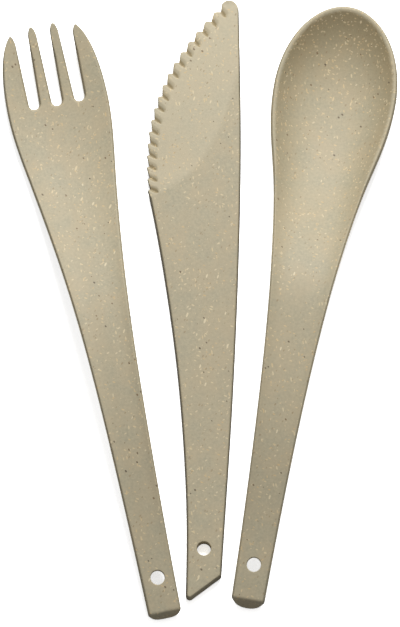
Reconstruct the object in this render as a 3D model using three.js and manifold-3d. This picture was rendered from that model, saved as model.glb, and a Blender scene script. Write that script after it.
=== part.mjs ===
// A reusable plastic cutlery set: a fork, a knife and a spoon that lie face up, side by side.
// Each is one moulding of a straw-filled plastic, with a hole near its handle's end to hang it by.
// Millimetres, +Z up, +Y from the handles to the heads.
//
// The fork and the spoon are dished sheets. Each is drawn flat first: x across the handle, run
// along it from the fold of the end lip (0) to the front tip, with the lip at negative runs.
// Then every point is carried onto the arched and dished face, or sunk below it by the wall.
import * as THREE from 'three';
import { mergeVertices } from 'three/addons/utils/BufferGeometryUtils.js';
import Module from 'manifold-3d';

const wasm = await Module();
wasm.setup();

// Sizes that the three pieces share
const HOLE_DIAMETER = 5;
const HOLE_EDGE_RADIUS = 0.35;
const SHEET_WALL = 2.3;
const FOLD_EASE = 0.9;
const MITRE_REACH = 8;
const LIP_ANGLE = 69;

// Spoon
const SPOON_LENGTH = 226.3;
const SPOON_HANDLE_WIDTH = 11.9;
const BOWL_WIDTH = 45.4;
const BOWL_FRONT = 34.3;
const BOWL_DEPTH = 8.3;
const SPOON_LIP = 6.4;
const SPOON_ARCH_HEIGHT = 22.3;
const SPOON_HOLE_RUN = 12.5;

// Fork
const FORK_LENGTH = 225.7;
const FORK_HANDLE_WIDTH = 11.9;
const HEAD_WIDTH = 37.6;
const HEAD_FRONT = 30.7;
const FRONT_OVERSHOOT = 0.7;
const HEAD_DEPTH = 2.9;
const FORK_LIP = 5;
const FORK_ARCH_HEIGHT = 18;
const TINE_LIFT = 4.2;
const FORK_HOLE_RUN = 12.5;
const SLOT_COUNT = 3;
const SLOT_PITCH = 8.5;
const SLOT_WIDTH = 3.8;
const SLOT_DEPTH = 30;
const MOUTH_PITCH = 8.25;
const MOUTH_WIDTH = 5;
const SLOT_EDGE_RADIUS = 0.8;
const TINE_TIP_LENGTH = 4;
const OUTER_TINE_SHORTFALL = 2;

// Knife
const KNIFE_LENGTH = 227.7;
const KNIFE_HANDLE_WIDTH = 13.55;
const KNIFE_THICKNESS = 4;
const KNIFE_EDGE_RADIUS = 0.95;
const BACK_RISE = 6.3;
const BLADE_LENGTH = 74.2;
const BLADE_WIDTH = 34.75;
const BLADE_EDGE_THICKNESS = 1.6;
const NOSE_RADIUS = 3.7;
const END_SLANT = 7.5;
const END_CORNER_RADIUS = 1.4;
const KNIFE_HOLE = { x: -0.6, y: 18.3 };

// Teeth: the first at the heel, each further on than the last by a pitch that grows. A tooth's
// ledge runs in from its tip, and on the blade a groove goes on from there, turned downwards.
const TOOTH_PITCH = 4.46;
const TOOTH_PITCH_GROWTH = 0.04;
const PLAIN_TIP = 3;
const TOOTH_TIP_RADIUS = 0.8;
const LEDGES = { heel: 0.9, tip: 2.65 };
const LEDGE_RISE = 0.15;
const GROOVE_TURNS = { heel: -28, tip: -58 };
const GROOVE_HALF_WIDTH = 2.05;
const GROOVE_DEPTH = 0.85;
const NOTCH_THICKNESS = 0.4;
const GROOVE_CLIMB = 0.25;

// Where each piece's own zero lies on the table, and how far it is turned to the left, in degrees.
// The end of the fork's handle is tucked in under the blade, and the spoon's lies beside the
// knife's handle.
const FORK_TUCK = 13.15;
const SPOON_GAP = 2.3;
const BLADE_LOWEST = KNIFE_HANDLE_WIDTH / 2 + BACK_RISE - BLADE_WIDTH;
const KNIFE_PLACE = { x: 1.975, y: -105.8, turn: 0 };
const FORK_PLACE = {
  x: KNIFE_PLACE.x + BLADE_LOWEST - FORK_HANDLE_WIDTH / 2 + FORK_TUCK,
  y: -111,
  turn: 11.77,
};
const SPOON_PLACE = {
  x: KNIFE_PLACE.x + KNIFE_HANDLE_WIDTH / 2 + SPOON_GAP + SPOON_HANDLE_WIDTH / 2,
  y: -106.8,
  turn: -9.74,
};

// Straw-filled plastic, matt with a faint satin
const STRAW_PLASTIC = { color: 0xb3a685, roughness: 0.62, metalness: 0 };

// Smooth curve through hand-chosen [place, value] knots: a natural cubic spline, or one that
// ends at a given slope. Outside the knots it goes on in a straight line.
function curveThrough(knots, endSlope) {
  const last = knots.length - 1;
  const gap = knots.slice(1).map((knot, i) => knot[0] - knots[i][0]);
  const rise = knots.slice(1).map((knot, i) => (knot[1] - knots[i][1]) / gap[i]);
  const weight = [0];
  const bend = [0];
  for (let i = 1; i < last; i += 1) {
    const pivot = 2 * (gap[i - 1] + gap[i]) - gap[i - 1] * weight[i - 1];
    weight[i] = gap[i] / pivot;
    bend[i] = (6 * (rise[i] - rise[i - 1]) - gap[i - 1] * bend[i - 1]) / pivot;
  }
  bend[last] = 0;
  if (endSlope !== undefined) {
    const pull = 6 * (endSlope - rise[last - 1]) - gap[last - 1] * bend[last - 1];
    bend[last] = pull / (gap[last - 1] * (2 - weight[last - 1]));
  }
  for (let i = last - 1; i > 0; i -= 1) {
    bend[i] -= weight[i] * bend[i + 1];
  }
  const startSlope = rise[0] - (gap[0] * (2 * bend[0] + bend[1])) / 6;
  const finalSlope = rise[last - 1] + (gap[last - 1] * (bend[last - 1] + 2 * bend[last])) / 6;
  return (place) => {
    if (place <= knots[0][0]) {
      return knots[0][1] + startSlope * (place - knots[0][0]);
    }
    if (place >= knots[last][0]) {
      return knots[last][1] + finalSlope * (place - knots[last][0]);
    }
    const i = knots.findIndex((knot) => knot[0] > place) - 1;
    const before = place - knots[i][0];
    const after = knots[i + 1][0] - place;
    const curl = (bend[i] * after ** 3 + bend[i + 1] * before ** 3) / (6 * gap[i]);
    const low = (knots[i][1] / gap[i] - (bend[i] * gap[i]) / 6) * after;
    const high = (knots[i + 1][1] / gap[i] - (bend[i + 1] * gap[i]) / 6) * before;
    return curl + low + high;
  };
}

// Closed solid from a geometry whose faces point outwards.
function solidFrom(geometry) {
  geometry.deleteAttribute('normal');
  geometry.deleteAttribute('uv');
  const merged = mergeVertices(geometry, 1e-4);
  const corners = merged.index.array;
  const kept = [];
  for (let i = 0; i < corners.length; i += 3) {
    const [a, b, c] = corners.slice(i, i + 3);
    if (a !== b && b !== c && c !== a) {
      kept.push(a, b, c);
    }
  }
  const mesh = new wasm.Mesh({
    numProp: 3,
    vertProperties: Float32Array.from(merged.attributes.position.array),
    triVerts: Uint32Array.from(kept),
  });
  return new wasm.Manifold(mesh);
}

// The slivers that cutters leave at their crossings are thinner than this
const SLIVER = 0.004;

function geometryOf(solid) {
  const mesh = solid.asOriginal().simplify(SLIVER).getMesh();
  const geometry = new THREE.BufferGeometry();
  geometry.setAttribute('position', new THREE.BufferAttribute(mesh.vertProperties, 3));
  geometry.setIndex(new THREE.BufferAttribute(mesh.triVerts, 1));
  geometry.computeVertexNormals();
  return geometry;
}

// Skin over rings of equally many points, each ring joined to the next and closed on itself.
// With caps, the first and the last ring are filled too.
function skinOver(rings, caps) {
  const around = rings[0].length;
  const points = rings.flat().flatMap((point) => [point.x, point.y, point.z]);
  const faces = [];
  for (let i = 0; i + 1 < rings.length; i += 1) {
    for (let j = 0; j < around; j += 1) {
      const here = i * around + j;
      const beside = i * around + ((j + 1) % around);
      faces.push(here, beside, here + around);
      faces.push(beside, beside + around, here + around);
    }
  }
  if (caps) {
    const top = (rings.length - 1) * around;
    for (const [a, b, c] of caps) {
      faces.push(a, c, b);
      faces.push(top + a, top + b, top + c);
    }
  }
  const geometry = new THREE.BufferGeometry();
  geometry.setAttribute('position', new THREE.Float32BufferAttribute(points, 3));
  geometry.setIndex(faces);
  return geometry;
}

// Height of the fold's corner over the table that the lip's round end stands on.
function foldHeight(lip) {
  const slope = THREE.MathUtils.degToRad(LIP_ANGLE);
  return lip * Math.sin(slope) + (SHEET_WALL / 2) * (1 + Math.cos(slope) - Math.sin(slope));
}

// Side profile of a dished sheet's face: up the lip, over the eased fold, then along the arch.
// Gives the place along the table, the height and the slope in radians.
function sideProfile(sheet, run) {
  const lipSlope = THREE.MathUtils.degToRad(LIP_ANGLE);
  const ease = FOLD_EASE;
  const upLip = new THREE.Vector2(Math.cos(lipSlope), Math.sin(lipSlope));
  const onLip = (way) => new THREE.Vector2(0, sheet.lipTop).addScaledVector(upLip, way);
  const onArch = (way) => new THREE.Vector2(way, sheet.height(way));
  let place;
  let ahead;
  if (run <= -ease) {
    place = onLip(run);
    ahead = upLip;
  } else if (run < ease) {
    const corner = new THREE.Vector2(0, sheet.lipTop);
    const fold = new THREE.QuadraticBezierCurve(onLip(-ease), corner, onArch(ease));
    const share = (run + ease) / (2 * ease);
    place = fold.getPoint(share);
    ahead = fold.getTangent(share);
  } else {
    const step = 0.01;
    place = onArch(run);
    ahead = onArch(run + step).sub(onArch(run - step));
  }
  return { along: place.x, height: place.y, slope: Math.atan2(ahead.y, ahead.x) };
}

// How far the face lies below its rim: flat-floored over the handle, one sweep in the head.
function dishAt(sheet, x, run) {
  const half = sheet.halfWidth(Math.min(run, sheet.widest));
  const ahead = Math.max(0, run - sheet.widest) / sheet.dishFront;
  const outward = Math.min(1, Math.hypot(x / half, ahead));
  const floorWidth = THREE.MathUtils.smoothstep(run, sheet.widest * 0.5, sheet.widest * 0.85);
  const power = THREE.MathUtils.lerp(4, 2.2, floorWidth);
  return Math.max(0, sheet.depth(run)) * (1 - outward ** power);
}

// Carries a point of the flat drawing onto the face, or sinks it below the face. Under the fold
// the underside slides outwards, so that it meets itself in a mitre.
function onSheet(sheet, x, run, sink) {
  const side = sideProfile(sheet, run);
  const reach = run < 0 ? sheet.lip : MITRE_REACH;
  const bend = THREE.MathUtils.degToRad(LIP_ANGLE) - sideProfile(sheet, 2 * FOLD_EASE).slope;
  const way = THREE.MathUtils.clamp(run / FOLD_EASE, -1, 1);
  const nearness = Math.max(0, 1 - Math.abs(run) / reach);
  const slide = sink * Math.tan(bend / 2) * way * nearness;
  const below = sink + dishAt(sheet, x, run);
  const along = side.along + below * Math.sin(side.slope) + slide * Math.cos(side.slope);
  const height = side.height - below * Math.cos(side.slope) + slide * Math.sin(side.slope);
  return new THREE.Vector3(x, along, height);
}

// Right half of a sheet's outline, from the middle of the lip's end to the middle of the front.
// Both ends are superellipse quarters.
function halfOutline(sheet) {
  const points = [];
  const lipSteps = 6;
  for (let i = 0; i < lipSteps; i += 1) {
    const angle = (i / lipSteps) * 0.5 * Math.PI;
    const x = sheet.halfWidth(0) * Math.sin(angle) ** (2 / sheet.lipPower);
    points.push(new THREE.Vector2(x, -sheet.lip * Math.cos(angle) ** (2 / sheet.lipPower)));
  }
  const foldRuns = [-1, -0.5, 0, 0.5, 1].map((share) => share * FOLD_EASE);
  for (const run of foldRuns) {
    const shrink = (1 - Math.abs(Math.min(0, run) / sheet.lip) ** sheet.lipPower) ** (1 / sheet.lipPower);
    points.push(new THREE.Vector2(sheet.halfWidth(Math.max(0, run)) * shrink, run));
  }
  const rowCount = Math.round((sheet.widest - FOLD_EASE) / sheet.rowStep);
  for (let i = 1; i < rowCount; i += 1) {
    const run = FOLD_EASE + ((sheet.widest - FOLD_EASE) * i) / rowCount;
    points.push(new THREE.Vector2(sheet.halfWidth(run), run));
  }
  for (let i = sheet.frontSteps; i >= 0; i -= 1) {
    const angle = (i / sheet.frontSteps) * 0.5 * Math.PI;
    const x = sheet.halfWidth(sheet.widest) * Math.sin(angle) ** (2 / sheet.frontPowers.across);
    const ahead = sheet.front * Math.cos(angle) ** (2 / sheet.frontPowers.ahead);
    points.push(new THREE.Vector2(x, sheet.widest + ahead));
  }
  return points;
}

// Outward direction at each point of an open or closed outline that runs anticlockwise.
function outwardAt(points, closed) {
  const count = points.length;
  return points.map((point, i) => {
    const before = points[closed ? (i + count - 1) % count : Math.max(0, i - 1)];
    const after = points[closed ? (i + 1) % count : Math.min(count - 1, i + 1)];
    const ahead = after.clone().sub(before).normalize();
    return new THREE.Vector2(ahead.y, -ahead.x);
  });
}

// The whole sheet as a skin over rings. Each ring crosses the face from left to right, goes round
// the right edge, back along the underside and round the left edge.
function sheetSolid(sheet) {
  const columns = 10;
  const edgeSteps = 6;
  const edge = SHEET_WALL / 2;
  const outline = halfOutline(sheet);
  const outward = outwardAt(outline, false);
  outward[0] = new THREE.Vector2(0, -1);
  outward[outline.length - 1] = new THREE.Vector2(0, 1);
  const rings = outline.map((point, i) => {
    const inner = point.clone().addScaledVector(outward[i], -edge);
    const half = Math.max(0, inner.x);
    const ring = [];
    for (let j = 0; j <= columns; j += 1) {
      const share = Math.sin((j / columns - 0.5) * Math.PI);
      ring.push(onSheet(sheet, half * share, inner.y, 0));
    }
    for (let j = 1; j < edgeSteps; j += 1) {
      const angle = (j / edgeSteps) * Math.PI;
      const out = inner.clone().addScaledVector(outward[i], edge * Math.sin(angle));
      ring.push(onSheet(sheet, Math.max(0, out.x), out.y, edge - edge * Math.cos(angle)));
    }
    for (let j = columns; j >= 0; j -= 1) {
      const share = Math.sin((j / columns - 0.5) * Math.PI);
      ring.push(onSheet(sheet, half * share, inner.y, SHEET_WALL));
    }
    for (let j = edgeSteps - 1; j > 0; j -= 1) {
      const angle = (j / edgeSteps) * Math.PI;
      const out = inner.clone().addScaledVector(outward[i], edge * Math.sin(angle));
      ring.push(onSheet(sheet, -Math.max(0, out.x), out.y, edge - edge * Math.cos(angle)));
    }
    return ring;
  });
  return solidFrom(skinOver(rings));
}

// Cutter for a hole or a slot with rounded edges: a stack of outlines that flares at both faces.
function flaredCutter(outline, wall, edgeRadius, place) {
  const overrun = 0.6;
  const angles = [70, 35, 0].map(THREE.MathUtils.degToRad);
  const layers = angles.map((angle) => [1 - Math.sin(angle), 1 - Math.cos(angle)])
    .map(([sink, offset]) => [edgeRadius * sink, edgeRadius * offset]);
  const [sinkAtFace, offsetAtFace] = layers[0];
  const offsetAbove = offsetAtFace + overrun * Math.tan(angles[0]);
  layers.unshift([sinkAtFace - wall, offsetAbove], [sinkAtFace - overrun, offsetAbove]);
  const stack = layers.concat(layers.map(([sink, offset]) => [wall - sink, offset]).reverse());
  const outward = outwardAt(outline, true);
  const rings = stack.map(([sink, offset]) => outline.map((point, i) => {
    const moved = point.clone().addScaledVector(outward[i], offset);
    return place(moved.x, moved.y, sink);
  }));
  return solidFrom(skinOver(rings.reverse(), THREE.ShapeUtils.triangulateShape(outline, [])));
}

function circleAt(x, y, radius, steps) {
  return new THREE.EllipseCurve(x, y, radius, radius).getPoints(steps).slice(0, steps);
}

function hangingHole(x, y, wall, place) {
  return flaredCutter(circleAt(x, y, HOLE_DIAMETER / 2, 24), wall, HOLE_EDGE_RADIUS, place);
}

// Widths swell from the handle's to the head's. Each swell is [distance back from the widest
// place, share of the growth].
function swellingWidth(handleWidth, headWidth, widest, swell) {
  const knots = swell.map(([back, share]) => [widest - back, share]);
  const growth = curveThrough([[0, 0], [10, 0.01], ...knots, [widest, 1]], 0);
  return (run) => (handleWidth + (headWidth - handleWidth) * growth(run)) / 2;
}

function spoonSheet() {
  const widest = SPOON_LENGTH - BOWL_FRONT;
  const lipTop = foldHeight(SPOON_LIP);
  const rimHeight = BOWL_DEPTH + SHEET_WALL;
  const swell = [[135, 0.096], [95, 0.233], [55, 0.476], [35, 0.666], [15, 0.922]];
  return {
    lip: SPOON_LIP,
    lipPower: 2.2,
    lipTop,
    widest,
    front: BOWL_FRONT,
    frontPowers: { across: 2, ahead: 2 },
    dishFront: BOWL_FRONT,
    rowStep: 6,
    frontSteps: 14,
    halfWidth: swellingWidth(SPOON_HANDLE_WIDTH, BOWL_WIDTH, widest, swell),
    height: curveThrough([
      [0, lipTop],
      [20, lipTop + 3.3],
      [widest - 135, SPOON_ARCH_HEIGHT - 4.3],
      [widest - 95, SPOON_ARCH_HEIGHT - 0.3],
      [widest - 75, SPOON_ARCH_HEIGHT - 0.2],
      [widest - 35, rimHeight + 2],
      [widest, rimHeight + 0.2],
      [SPOON_LENGTH, rimHeight + 1],
    ]),
    depth: curveThrough([
      [8, 0],
      [30, 0.8],
      [widest - 95, 1.7],
      [widest - 60, 2.9],
      [widest - 25, BOWL_DEPTH * 0.8],
      [widest - 5, BOWL_DEPTH],
      [SPOON_LENGTH, BOWL_DEPTH],
    ]),
  };
}

function spoonSolid() {
  const sheet = spoonSheet();
  const place = (x, run, sink) => onSheet(sheet, x, run, sink);
  return sheetSolid(sheet).subtract(hangingHole(0, SPOON_HOLE_RUN, SHEET_WALL, place));
}

function forkSheet() {
  const widest = FORK_LENGTH - HEAD_FRONT;
  const lipTop = foldHeight(FORK_LIP);
  const palmHeight = HEAD_DEPTH + SHEET_WALL;
  const swell = [[135, 0.105], [97, 0.237], [57, 0.498], [27, 0.79], [12, 0.946]];
  return {
    lip: FORK_LIP,
    lipPower: 2.8,
    lipTop,
    widest,
    front: HEAD_FRONT + FRONT_OVERSHOOT,
    frontPowers: { across: 4.4, ahead: 2 },
    dishFront: Infinity,
    rowStep: 6,
    frontSteps: 12,
    halfWidth: swellingWidth(FORK_HANDLE_WIDTH, HEAD_WIDTH, widest, swell),
    height: curveThrough([
      [0, lipTop],
      [20, lipTop + 2.7],
      [widest - 135, FORK_ARCH_HEIGHT - 3],
      [widest - 100, FORK_ARCH_HEIGHT],
      [widest - 77, FORK_ARCH_HEIGHT - 1.3],
      [widest - 32, palmHeight + 1.5],
      [widest - 12, palmHeight],
      [widest + 8, palmHeight + 0.9],
      [FORK_LENGTH, palmHeight + TINE_LIFT],
    ]),
    depth: curveThrough([
      [8, 0],
      [30, 0.7],
      [widest - 97, 1.4],
      [widest - 45, 2],
      [widest - 12, HEAD_DEPTH],
      [widest + 8, HEAD_DEPTH * 0.8],
      [FORK_LENGTH, HEAD_DEPTH * 0.25],
    ]),
  };
}

// Outline of the slot between two tines: round at its root, wider towards its mouth, and at the
// mouth following the round tips of the tines on both sides. The outer tines end further back.
function slotOutline(slot) {
  const fromMiddle = slot - (SLOT_COUNT - 1) / 2;
  const root = fromMiddle * SLOT_PITCH;
  const mouth = fromMiddle * MOUTH_PITCH;
  const rootRadius = SLOT_WIDTH / 2;
  const rootRun = FORK_LENGTH - SLOT_DEPTH + rootRadius;
  const leftEnd = FORK_LENGTH - (slot === 0 ? OUTER_TINE_SHORTFALL : 0);
  const rightEnd = FORK_LENGTH - (slot === SLOT_COUNT - 1 ? OUTER_TINE_SHORTFALL : 0);
  const path = new THREE.Path();
  path.moveTo(mouth - MOUTH_WIDTH / 2, leftEnd - TINE_TIP_LENGTH);
  path.lineTo(root - rootRadius, rootRun);
  path.absarc(root, rootRun, rootRadius, Math.PI, 2 * Math.PI, false);
  path.lineTo(mouth + MOUTH_WIDTH / 2, rightEnd - TINE_TIP_LENGTH);
  const sides = path.curves.flatMap((curve, i) => curve.getSpacedPoints(i === 1 ? 10 : 5).slice(1));
  const left = mouth - MOUTH_PITCH / 2;
  const right = mouth + MOUTH_PITCH / 2;
  const tipCurve = (x, end, from, to) => new THREE.EllipseCurve(
    x, end - TINE_TIP_LENGTH, (MOUTH_PITCH - MOUTH_WIDTH) / 2, TINE_TIP_LENGTH, from, to, true);
  const beside = 0.15;
  const lift = 0.3;
  const beyond = FORK_LENGTH + 3;
  return [
    ...sides,
    ...tipCurve(right, rightEnd, Math.PI, 0.5 * Math.PI).getPoints(6).slice(1),
    new THREE.Vector2(right + beside, rightEnd + lift),
    new THREE.Vector2(right + beside, beyond),
    new THREE.Vector2(left - beside, beyond),
    new THREE.Vector2(left - beside, leftEnd),
    ...tipCurve(left, leftEnd, 0.5 * Math.PI, 0).getPoints(6),
  ];
}

function forkSolid() {
  const sheet = forkSheet();
  const place = (x, run, sink) => onSheet(sheet, x, run, sink);
  let solid = sheetSolid(sheet).subtract(hangingHole(0, FORK_HOLE_RUN, SHEET_WALL, place));
  for (let i = 0; i < SLOT_COUNT; i += 1) {
    solid = solid.subtract(flaredCutter(slotOutline(i), SHEET_WALL, SLOT_EDGE_RADIUS, place));
  }
  return solid;
}

// Knife, drawn flat: x = 0 is the handle's middle line and y = 0 the slanted end's low corner.
// The sides swell from the handle to the blade: [distance ahead of the heel, share of the swell].
const BACK_SWELL = [
  [-142, -0.151], [-127.5, 0], [-87.5, 0.413], [-47.5, 0.73], [-12.5, 0.921], [18.5, 1],
  [46.5, 0.968], [68.5, 0.905],
];
const BELLY_SWELL = [
  [-150.5, 0.017], [-127.5, 0], [-97.5, 0.077], [-67.5, 0.245], [-37.5, 0.51], [-9.5, 0.832],
  [0, 0.961],
];

// On the blade: [share of its length from the heel, share of its width from the lowest edge]
const BLADE_EDGE = [
  [0, 0.017], [0.115, 0], [0.222, 0.004], [0.357, 0.038], [0.477, 0.107], [0.6, 0.208],
  [0.72, 0.35], [0.829, 0.515], [0.926, 0.687], [0.976, 0.793],
];
const GRIND_LIMIT = [
  [-0.032, 0.092], [0.009, 0.25], [0.119, 0.535], [0.208, 0.662], [0.313, 0.778], [0.55, 0.938],
  [0.829, 1.142],
];
const HEEL = KNIFE_LENGTH - BLADE_LENGTH;

function onBlade([ahead, across]) {
  return new THREE.Vector2(BLADE_LOWEST + BLADE_WIDTH * across, HEEL + BLADE_LENGTH * ahead);
}

function bladeCurve() {
  return new THREE.SplineCurve(BLADE_EDGE.map(onBlade));
}

// Function that gives x at each y, through points on the blade.
function acrossAt(points) {
  return curveThrough(points.map(onBlade).map((point) => [point.y, point.x]));
}

function knifeOutline() {
  const half = KNIFE_HANDLE_WIDTH / 2;
  const drop = BLADE_WIDTH - KNIFE_HANDLE_WIDTH - BACK_RISE;
  const backKnots = BACK_SWELL.map(([ahead, share]) => [HEEL + ahead, half + BACK_RISE * share]);
  const bellyKnots = BELLY_SWELL.map(([ahead, share]) => [HEEL + ahead, -half - drop * share]);
  const backAt = curveThrough(backKnots);
  const bellyAt = curveThrough(bellyKnots);
  const radius = END_CORNER_RADIUS;
  const lowY = radius;
  const highY = radius + END_SLANT;
  const noseY = KNIFE_LENGTH - NOSE_RADIUS;
  const turned = THREE.MathUtils.degToRad;
  const rounded = (x, y, r, from, to) => new THREE.EllipseCurve(x, y, r, r, turned(from), turned(to));
  const low = rounded(bellyAt(lowY) + radius, lowY, radius, 180, 302);
  const high = rounded(backAt(highY) - radius, highY, radius, -54, 0);
  const nose = rounded(backAt(noseY) - NOSE_RADIUS, noseY, NOSE_RADIUS, 0, 135);
  const along = (at, from, to) => {
    const steps = 24;
    const points = [];
    for (let i = 1; i < steps; i += 1) {
      const y = THREE.MathUtils.lerp(from, to, i / steps);
      points.push(new THREE.Vector2(at(y), y));
    }
    return points;
  };
  return [
    ...along(backAt, highY, noseY),
    ...nose.getPoints(12),
    ...bladeCurve().getPoints(36).reverse(),
    ...along(bellyAt, HEEL, lowY),
    ...low.getPoints(6),
    ...high.getPoints(5),
  ];
}

// Slab with rounded edges and the hanging hole, before the blade is ground.
function knifeBlank() {
  const shape = new THREE.Shape(knifeOutline());
  const geometry = new THREE.ExtrudeGeometry(shape, {
    depth: KNIFE_THICKNESS - 2 * KNIFE_EDGE_RADIUS,
    bevelThickness: KNIFE_EDGE_RADIUS,
    bevelSize: KNIFE_EDGE_RADIUS,
    bevelOffset: -KNIFE_EDGE_RADIUS,
    bevelSegments: 4,
  });
  geometry.translate(0, 0, KNIFE_EDGE_RADIUS);
  const place = (x, y, sink) => new THREE.Vector3(x, y, KNIFE_THICKNESS - sink);
  const hole = hangingHole(KNIFE_HOLE.x, KNIFE_HOLE.y, KNIFE_THICKNESS, place);
  return solidFrom(geometry).subtract(hole);
}

// The ground face falls in a straight line from its upper limit on the blade to the cutting edge.
function grindCutter() {
  const limitX = acrossAt(GRIND_LIMIT);
  const edgeX = acrossAt(BLADE_EDGE);
  const fall = (KNIFE_THICKNESS - BLADE_EDGE_THICKNESS) / 2;
  const first = onBlade(GRIND_LIMIT[0]).y;
  const last = KNIFE_LENGTH + 2;
  const edgeEnd = onBlade(BLADE_EDGE[BLADE_EDGE.length - 1]).y;
  const rows = 30;
  const rings = [];
  for (let i = 0; i <= rows; i += 1) {
    const y = THREE.MathUtils.lerp(first, last, i / rows);
    const edge = edgeX(Math.min(y, edgeEnd));
    const limit = Math.max(limitX(y), edge + 0.5);
    const depth = fall * THREE.MathUtils.smoothstep(y, first - 6, first + 14);
    const faceAt = (x) => KNIFE_THICKNESS - (depth * (limit - x)) / (limit - edge);
    const inner = limit + 2;
    const outer = edge - 6;
    const top = KNIFE_THICKNESS + 3;
    rings.push([
      new THREE.Vector3(outer, y, faceAt(outer)),
      new THREE.Vector3(outer, y, top),
      new THREE.Vector3(inner, y, top),
      new THREE.Vector3(inner, y, faceAt(inner)),
    ]);
  }
  return solidFrom(skinOver(rings, [[0, 1, 2], [0, 2, 3]]));
}

// Teeth from the heel to the tip: each has its tip on the blade's curve, and above it a ledge that
// runs in to a notch. The ledges get longer, and the grooves steeper, towards the knife's tip.
function teethAlong(blade) {
  const length = blade.getLength();
  const teeth = [];
  const inside = 0.05;
  let at = 0;
  while (at < length - PLAIN_TIP) {
    const share = at / length;
    const tip = blade.getPointAt(share);
    tip.x += inside;
    const ledge = THREE.MathUtils.lerp(LEDGES.heel, LEDGES.tip, share);
    const notch = new THREE.Vector2(tip.x + ledge, tip.y + LEDGE_RISE);
    const turn = THREE.MathUtils.lerp(GROOVE_TURNS.heel, GROOVE_TURNS.tip, share);
    teeth.push({ tip, notch, direction: THREE.MathUtils.degToRad(turn) });
    at += TOOTH_PITCH + TOOTH_PITCH_GROWTH * (teeth.length - 0.5);
  }
  return teeth;
}

// Everything outside the row of teeth, cut straight through the blade. Each tooth's tip is
// rounded between the ledge and the flank that comes up from the notch below.
function gapCutter(teeth) {
  const first = teeth[0];
  const last = teeth[teeth.length - 1];
  const outside = 5;
  const path = new THREE.Path();
  path.moveTo(first.tip.x - outside, first.tip.y);
  path.lineTo(first.tip.x, first.tip.y);
  path.lineTo(first.notch.x, first.notch.y);
  teeth.slice(1).forEach((tooth, i) => {
    const towards = (corner) => corner.clone().sub(tooth.tip).setLength(TOOTH_TIP_RADIUS).add(tooth.tip);
    const onFlank = towards(teeth[i].notch);
    const onLedge = towards(tooth.notch);
    path.lineTo(onFlank.x, onFlank.y);
    path.quadraticCurveTo(tooth.tip.x, tooth.tip.y, onLedge.x, onLedge.y);
    path.lineTo(tooth.notch.x, tooth.notch.y);
  });
  path.lineTo(last.notch.x + 1, last.notch.y + 3);
  path.lineTo(last.notch.x - outside, last.notch.y + outside);
  path.lineTo(first.tip.x - outside, last.notch.y);
  const shape = new THREE.Shape(path.getPoints(3));
  const overrun = 1;
  const depth = KNIFE_THICKNESS + 2 * overrun;
  const geometry = new THREE.ExtrudeGeometry(shape, { depth, bevelEnabled: false });
  geometry.translate(0, 0, -overrun);
  return solidFrom(geometry);
}

// Groove that starts at a notch and runs out on the blade. Its walls bulge, so that a rounded ridge
// stays between two grooves.
function grooveCutter(tooth) {
  const steps = 5;
  const shoulder = GROOVE_HALF_WIDTH + 0.35;
  const above = 4;
  const before = 4;
  const section = [];
  for (let i = -steps; i <= steps; i += 1) {
    const share = i / steps;
    const rise = GROOVE_DEPTH * (1 - (1 - Math.abs(share)) ** 1.5);
    section.push(new THREE.Vector2(GROOVE_HALF_WIDTH * share, rise));
  }
  section.push(new THREE.Vector2(shoulder, GROOVE_DEPTH), new THREE.Vector2(shoulder, above));
  section.push(new THREE.Vector2(-shoulder, above), new THREE.Vector2(-shoulder, GROOVE_DEPTH));
  const shape = new THREE.Shape(section);
  const geometry = new THREE.ExtrudeGeometry(shape, { depth: 14, bevelEnabled: false });
  geometry.translate(0, 0, -before);
  const ahead = new THREE.Vector3(Math.cos(tooth.direction), Math.sin(tooth.direction), GROOVE_CLIMB);
  const across = new THREE.Vector3(-Math.sin(tooth.direction), Math.cos(tooth.direction), 0);
  const along = ahead.normalize();
  const up = new THREE.Vector3().crossVectors(along, across);
  geometry.applyMatrix4(new THREE.Matrix4().makeBasis(across, up, along));
  geometry.translate(tooth.notch.x, tooth.notch.y, (KNIFE_THICKNESS + NOTCH_THICKNESS) / 2);
  return solidFrom(geometry);
}

function knifeSolid() {
  const bottomUp = (solid) => solid.mirror([0, 0, 1]).translate([0, 0, KNIFE_THICKNESS]);
  const grind = grindCutter();
  const teeth = teethAlong(bladeCurve());
  let solid = knifeBlank().subtract(grind).subtract(bottomUp(grind)).subtract(gapCutter(teeth));
  for (const tooth of teeth) {
    const groove = grooveCutter(tooth);
    solid = solid.subtract(groove).subtract(bottomUp(groove));
  }
  return solid;
}

function pieceMesh(name, solid, place) {
  const piece = new THREE.Mesh(geometryOf(solid), new THREE.MeshStandardMaterial(STRAW_PLASTIC));
  piece.name = name;
  piece.rotation.z = THREE.MathUtils.degToRad(place.turn);
  piece.position.set(place.x, place.y, 0);
  piece.updateMatrixWorld();
  piece.position.z = -new THREE.Box3().setFromObject(piece, true).min.z;
  return piece;
}

const cutlery = new THREE.Group();
cutlery.add(pieceMesh('fork', forkSolid(), FORK_PLACE));
cutlery.add(pieceMesh('knife', knifeSolid(), KNIFE_PLACE));
cutlery.add(pieceMesh('spoon', spoonSolid(), SPOON_PLACE));

// The set's origin is the middle of its box, at the table
const spread = new THREE.Box3().setFromObject(cutlery, true).getCenter(new THREE.Vector3());
cutlery.position.set(-spread.x, -spread.y, 0);

export default cutlery;
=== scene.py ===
"""A reusable plastic cutlery set: a fork, a knife and a spoon that lie face up, side by side.

Each piece is drawn flat, in millimetres: x across it, run along it from the handle to the head.
A face is then a function of those two, and the plate between the upper and the lower face is
closed by rounded edges. Each finished piece lies where its CAD node lies.
"""

from types import SimpleNamespace

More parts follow.
